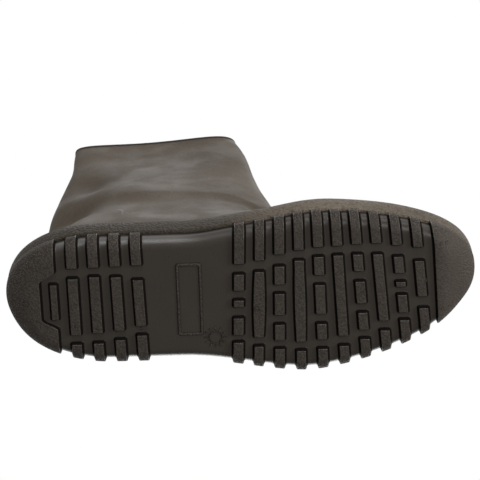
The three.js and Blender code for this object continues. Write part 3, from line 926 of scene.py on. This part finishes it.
def lining_knit():
    g = Material("lining_knit", (0.055, 0.051, 0.046))
    x, y, z = g.axes()
    wale = g.math("SINE", g.product(g.total(x, y), 2 * math.pi / 0.0016))
    course = g.math("SINE", g.product(z, 2 * math.pi / 0.0012))
    knit = g.product(g.math("ABSOLUTE", wale), g.math("ABSOLUTE", course))
    fuzz = g.noise(1100.0, 3.0, 0.7)
    colour = g.colour(g.span(knit, 0.0, 0.9), g.shade(0.6), g.shade(1.25))
    colour = g.tint(colour, 1.9, g.span(fuzz, 0.45, 0.75, 0.0, 0.4))
    return g.finish(colour, g.span(fuzz, 0.3, 0.7, 0.85, 0.98), [(knit, 0.25), (fuzz, 0.15)], 0.08)


def insole_board():
    g = Material("insole_board", (0.060, 0.055, 0.048))
    warp, weft = (g.math("SINE", g.product(axis, 2 * math.pi / 0.0018)) for axis in g.axes()[:2])
    weave = g.product(warp, weft)
    fuzz = g.noise(700.0, 4.0, 0.7)
    colour = g.colour(g.span(weave, -0.6, 0.6), g.shade(0.7), g.shade(1.2))
    colour = g.tint(colour, 1.6, g.span(fuzz, 0.4, 0.75, 0.0, 0.4))
    return g.finish(colour, g.span(fuzz, 0.3, 0.7, 0.88, 0.99), [(weave, 0.2), (fuzz, 0.2)], 0.08)


UPPER, FOX, SOLE = upper_rubber(), foxing_rubber(), outsole_rubber()
RIM_RUBBER, KNIT, BOARD = rim_rubber(), lining_knit(), insole_board()

# ---- pieces

outer = skin(0.0)
normals = grid_normals(outer)
lift = relief(outer, normals)
outer = outer + normals * lift[..., None]
normals = grid_normals(outer)
lined = skin(WALL) + normals * lift[..., None]
inner_normals = grid_normals(lined)


def moved_in(depth_mm):
    """The upper's face moved in by about this much."""
    return lined + inner_normals * (WALL - depth_mm)


TOE, BACK = slice(0, SPLIT + 1), slice(SPLIT, None)


def bend_at_ball(obj):
    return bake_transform(obj)


def bend_at_ankle(obj):
    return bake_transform(obj)


def half(name, over, under, part, material, step):
    """The toe's or the leg's half of a layer, with every so many points round a section."""
    grids = [g[part, ::step] for g in (over, under, normals, inner_normals)]
    return shell(name, *grids[:2], material, part is TOE, grids[2:])


def upper_pieces():
    middle, near = moved_in(2.0), moved_in(2.04)
    wall = half("upper_toe", outer, middle, TOE, UPPER, 1)
    bend_at_ball(wall)
    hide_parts("vamp_toe", "ball_fold")
    back = half("upper_leg", outer, middle, BACK, UPPER, 1)
    bend_at_ankle(back)
    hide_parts("quarter", "ankle_fold", "leg")
    toe = half("lining_toe", near, lined, TOE, KNIT, 2)
    bend_at_ball(toe)
    leg = half("lining_leg", near, lined, BACK, KNIT, 2)
    bend_at_ankle(leg)


# The rolled rim's section: distance out from the upper's outer face, and Z.
BEAD = (
    (0.05, 250.6), (0.34, 250.75), (0.55, 251.2), (0.6, 252.0), (0.52, 252.9), (0.2, 253.6), (-0.4, 253.97),
    (-1.3, 254.05), (-2.2, 253.97), (-2.8, 253.6), (-3.1, 252.9), (-3.15, 252.0), (-3.05, 251.2), (-2.7, 250.6),
    (-1.3, 250.5),
)


def rim_bead():
    """The rolled edge round the leg's mouth."""
    ring = outer[-1]
    n = unit(normals[-1, :, :2])
    sway = 0.5 * waves(ring, 60, 21)
    v, faces = rings_mesh([(ring[:, :2] + n * d, z + sway) for d, z in BEAD])
    obj = build("rim_binding", v, faces, RIM_RUBBER)
    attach(obj, "leg")
    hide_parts("rim_bead")


def outsole():
    """The outsole. Returns a tree of its surface, for the marks to sit on."""
    v, faces, share, wall = outsole_mesh()
    obj = build(
        "outsole", v, faces, SOLE, normals=area_normals(v, faces),
        attributes={"cleat": share, "wall": wall, "height": v[:, 2]},
    )
    bend_at_ball(obj)
    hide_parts("outsole_rear", "outsole_toe")
    return BVHTree.FromPolygons(v.tolist(), [list(f) for f in faces])


def plug(points, base, top, draft=0.3):
    """A small solid that stands down from base to top over an anticlockwise outline, narrower at its top."""
    p = np.asarray(points, float)
    middle = p.mean(0)
    reach = np.linalg.norm(p - middle, axis=1, keepdims=True)
    inner = p + (middle - p) * np.minimum(0.5, draft / np.maximum(reach, 1e-6))
    v, faces = rings_mesh(((p, base), (p, mix(base, top, 0.7)), (inner, top)), False)
    n = len(p)
    return v, backwards(faces) + [range(n), range(3 * n - 1, 2 * n - 1, -1)]


def loop(outer_path, inner_path, base, top, draft=0.25):
    """A raised closed line that stands down from base to top between two anticlockwise outlines."""
    a, b = np.asarray(outer_path, float), np.asarray(inner_path, float)
    way = unit(b - a)
    shoulder = mix(base, top, 0.6)
    v, faces = rings_mesh((
        (a, base), (a, shoulder), (a + way * draft, top), (b - way * draft, top), (b, shoulder), (b, base),
    ))
    return v, backwards(faces)


def circle(x, y, r, n=20):
    a = np.arange(n) / n * 2 * math.pi
    return np.stack([x + r * np.cos(a), y + r * np.sin(a)], 1)


def rounded(x0, y0, x1, y1, r):
    """A rectangle with round corners."""
    out = []
    corners = ((x1 - r, y1 - r), (x0 + r, y1 - r), (x0 + r, y0 + r), (x1 - r, y0 + r))
    for k, (cx, cy) in enumerate(corners):
        for a in np.radians(90 * k + np.linspace(0, 90, 6)):
            out.append((cx + r * math.cos(a), cy + r * math.sin(a)))
    return np.array(out)


def turned(shape, x, y, degrees):
    a = math.radians(degrees)
    c, s = math.cos(a), math.sin(a)
    return np.asarray(shape) @ np.array([[c, s], [-s, c]]) + (x, y)


# The mould's marks: X, Y and a radius, or a turn in degrees.
RINGS = ((-140.8, 1.1, 2.3), (10.8, 9.0, 2.0))
PIPS = (
    (-131.4, -21.8), (-133.9, 14.0), (-109.2, 18.4), (-94.8, 20.6), (-80.7, 22.9), (-66.4, 22.7),
    (121.9, -7.3), (131.2, -33.6), (134.8, -33.8), (133.1, 12.7), (137.5, 12.2),
)
DASHES = ((-121.6, -8.0, 35), (-121.8, -1.0, -20), (-121.6, 5.0, 50), (-121.2, 10.5, 10))
CROSS = (80.6, -2.0, 38)
TICK_RING = (-17.3, 30.3)
ON_TREAD, ON_SHANK = (0.25, -0.3), (0.3, -0.6)  # how deep a mark is set in, and how far it stands down


def sole_marks(surface):
    """Small raised marks of the mould: pips, rings, the bare panel's border and a ring of ticks."""
    panel = rounded(-42.0, -23.8, -25.0, 28.3, 1.8), rounded(-39.9, -21.7, -27.1, 26.2, 0.5)
    parts = [loop(*panel, 0.3, -1.0, 0.6)]
    parts += [loop(circle(x, y, r), circle(x, y, r - 0.8), *ON_TREAD) for x, y, r in RINGS]
    parts += [plug(circle(x, y, 1.0, 12), *ON_TREAD) for x, y in PIPS]
    w, reach = 0.45, 2.1
    quarter = [(w, -reach), (w, -w), (reach, -w)]
    cross = np.concatenate([turned(quarter, 0, 0, 90 * k) for k in range(4)])
    parts.append(plug(turned(cross, *CROSS), *ON_TREAD, 0.2))
    dash = [(-0.4, -1.5), (0.4, -1.5), (0.4, 1.5), (-0.4, 1.5)]
    parts += [plug(turned(dash, *place), *ON_TREAD, 0.15) for place in DASHES]
    parts.append(loop(circle(*TICK_RING, 4.6, 32), circle(*TICK_RING, 3.9, 32), *ON_SHANK))
    tick = [(5.3, -w), (7.7, -w), (7.7, w), (5.3, w)]
    parts += [plug(turned(tick, *TICK_RING, 30 * k), *ON_SHANK, 0.15) for k in range(12)]
    faces, share, ground, at = [], [], [], 0
    for points, polygons in parts:
        for x, y, _ in points:
            ground.append(surface.ray_cast(Vector((x, y, -20.0)), Vector((0, 0, 1)))[0].z)
        share.append(np.where(points[:, 2] < points[:, 2].min() + 0.01, 1.0, 0.45))
        faces += [[i + at for i in f] for f in polygons]
        at += len(points)
    v, share = np.concatenate([points for points, _ in parts]), np.concatenate(share)
    v[:, 2] += ground
    # the marks' sides get part of the wall value and, with it, the cleats' painted shade
    obj = build(
        "sole_marks", v, faces, SOLE, smooth=False,
        attributes={"cleat": share, "wall": (share < 1) * 0.8, "height": v[:, 2]},
    )
    bend_at_ball(obj)


def foxing():
    v, faces = band_mesh(FOXING, 440, 0.28)
    obj = build("foxing", v, faces, FOX, normals=area_normals(v, faces))
    bend_at_ball(obj)
    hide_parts("foxing_rear", "foxing_toe")


def insole():
    v, faces = board_mesh(BOARD_EDGE, 160)
    obj = build("insole", v, faces, BOARD)
    bend_at_ball(obj)
    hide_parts("insole_rear", "insole_toe")


def ply(name, keep, bend, replaced, thickness):
    """A patch laid inside the lining, over the grid points that keep marks."""
    layers = [moved_in(WALL + 0.12 + more)[:, ::2] for more in (0.0, thickness)]
    marked = keep(layers[0])
    rings, count = marked.shape
    filled = marked & np.roll(marked, -1, 1)
    filled = filled[:-1] & filled[1:]
    index = {}
    v, faces = [], []

    def at(layer, r, c):
        key = (layer, r, c % count)
        if key not in index:
            index[key] = len(v)
            v.append(layers[layer][r, c % count])
        return index[key]

    for r, c in np.argwhere(filled).tolist():
        corners = ((r, c), (r, c + 1), (r + 1, c + 1), (r + 1, c))
        faces.append(tuple(at(0, *q) for q in corners))
        faces.append(tuple(at(1, *q) for q in reversed(corners)))
        beside = ((r - 1, c), (r, c + 1), (r + 1, c), (r, c - 1))
        for k, (row, column) in enumerate(beside):
            if not (0 <= row < rings - 1 and filled[row, column % count]):
                p, q = corners[k], corners[(k + 1) % 4]
                faces.append((at(0, *q), at(0, *p), at(1, *p), at(1, *q)))
    obj = build(name, np.array(v), faces, KNIT)
    bend(obj)
    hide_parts(replaced)


PLY_FOOT = 13.5  # Z where the plies inside the lining start


def counter_area(p):
    """The heel counter's area, with a round corner at its top and front."""
    x, z = p[..., 0], p[..., 2]
    past = np.hypot(np.clip(x + 96, 0, None), np.clip(z - 44, 0, None))
    return (past < 34) & (z > PLY_FOOT)


def toe_area(p):
    return (p[..., 0] > 84) & (p[..., 2] > PLY_FOOT)


upper_pieces()
rim_bead()
sole_marks(outsole())
foxing()
insole()
ply("heel_counter_ply", counter_area, bend_at_ankle, "heel_counter", 1.2)
ply("toe_cap_ply", toe_area, bend_at_ball, "toe_ply", 1.0)

# ---- floor, light and camera


def floor():
    """A pale floor that catches the shadow, fades into the white round it, and can't be seen from below."""
    s, z = 4.0, -0.0004
    me = bpy.data.meshes.new("floor")
    me.from_pydata([(-s, -s, z), (s, -s, z), (s, s, z), (-s, s, z)], [], [(0, 1, 2, 3)])
    g = Material("floor", (0.86, 0.85, 0.84))
    paint = g.shader
    g.put((*g.base, 1), paint.inputs["Base Color"])
    g.put(0.9, paint.inputs["Roughness"])
    g.put(0.0, paint.inputs["Specular IOR Level"])
    clear = g.add("ShaderNodeBsdfTransparent").outputs[0]
    white = g.add("ShaderNodeEmission").outputs[0]
    seen = g.add("ShaderNodeLightPath").outputs["Is Camera Ray"]
    behind = g.add("ShaderNodeNewGeometry").outputs["Backfacing"]
    away = g.add("ShaderNodeVectorMath", {0: g.place}, operation="LENGTH").outputs["Value"]
    fade = g.span(away, 0.3, 1.15, 0.45, 1.0)
    pale = g.add("ShaderNodeMixShader", {0: fade, 1: paint.outputs[0], 2: white}).outputs[0]
    front = g.add("ShaderNodeMath", {0: seen, 1: behind}, operation="SUBTRACT", use_clamp=True).outputs[0]
    shown = g.add("ShaderNodeMixShader", {0: front, 1: clear, 2: pale}).outputs[0]
    g.put(shown, g.tree.nodes["Material Output"].inputs["Surface"])
    me.materials.append(g.material)
    obj = placed("floor", me)


def world(ambient):
    """A white background, also in reflections above the horizon, and a dimmer even light from all round."""
    studio = bpy.data.worlds.new("studio")
    bpy.context.scene.world = studio
    g = Nodes(studio)
    path = g.add("ShaderNodeLightPath").outputs
    way = g.add("ShaderNodeTexCoord").outputs["Generated"]
    up = g.add("ShaderNodeSeparateXYZ", {"Vector": way}).outputs["Z"]
    above = g.add("ShaderNodeMapRange", {0: up, 1: -0.1, 2: 0.15, 3: ambient, 4: 1.0}).outputs[0]
    mirrored = g.product(path["Is Glossy Ray"], above)
    seen = g.math("MAXIMUM", path["Is Camera Ray"], path["Is Transmission Ray"])
    background = g.tree.nodes["Background"].inputs
    strength = g.math("MAXIMUM", g.math("MAXIMUM", seen, mirrored), ambient)
    g.put(strength, background["Strength"])
    g.put((1, 1, 1, 1), background["Color"])


def lamp(name, place, size, watts, height=None):
    """A soft lamp turned towards the boot's middle."""
    aim = Vector((-0.02, -0.01, 0.08)) - Vector(place)
    data = bpy.data.lights.new(name, "AREA")
    data.shape = "ELLIPSE"
    data.size, data.size_y = size, height or size
    data.energy = watts
    obj = placed(name, data)
    obj.location = place
    obj.visible_camera = False
    obj.rotation_euler = aim.to_track_quat("-Z", "Y").to_euler()


def camera():
    """The photograph's view: from below the sole, with the toe to the right."""
    tilt, roll, distance = math.radians(22.5), math.radians(1.5755), 1.1
    c, s = math.cos(tilt), math.sin(tilt)
    way = Vector((0, s, c))
    right = Vector((math.cos(roll), math.sin(roll) * c, -math.sin(roll) * s))
    up = Vector((math.sin(roll), -math.cos(roll) * c, math.cos(roll) * s))
    look = Vector((0.657, -40.206, 0.0)) * MM
    data = bpy.data.cameras.new("camera")
    data.lens, data.sensor_width = 127.5, 36.0
    data.clip_start, data.clip_end = 0.05, 20.0
    obj = placed("camera", data)
    turn = Matrix((right, up, -way)).transposed().to_4x4()
    obj.matrix_world = Matrix.Translation(look - way * distance) @ turn
    bpy.context.scene.camera = obj


floor()
world(0.22)
lamp("key", (0.5, -1.35, -0.2), 0.7, 3.5)
lamp("glint", (-0.13, -1.2, -0.62), 0.18, 5.4, 1.2)
lamp("under", (0.5, -0.6, -1.3), 0.6, 10)
lamp("top", (0.1, -0.2, 1.8), 1.2, 8)
lamp("outer", (0.1, 1.5, 0.6), 1.0, 8)
lamp("toe", (1.3, -0.5, -0.7), 0.6, 11)
lamp("heel", (-1.5, 0.3, 0.6), 0.9, 2.5)
camera()
bpy.context.scene.view_settings.view_transform = "Standard"
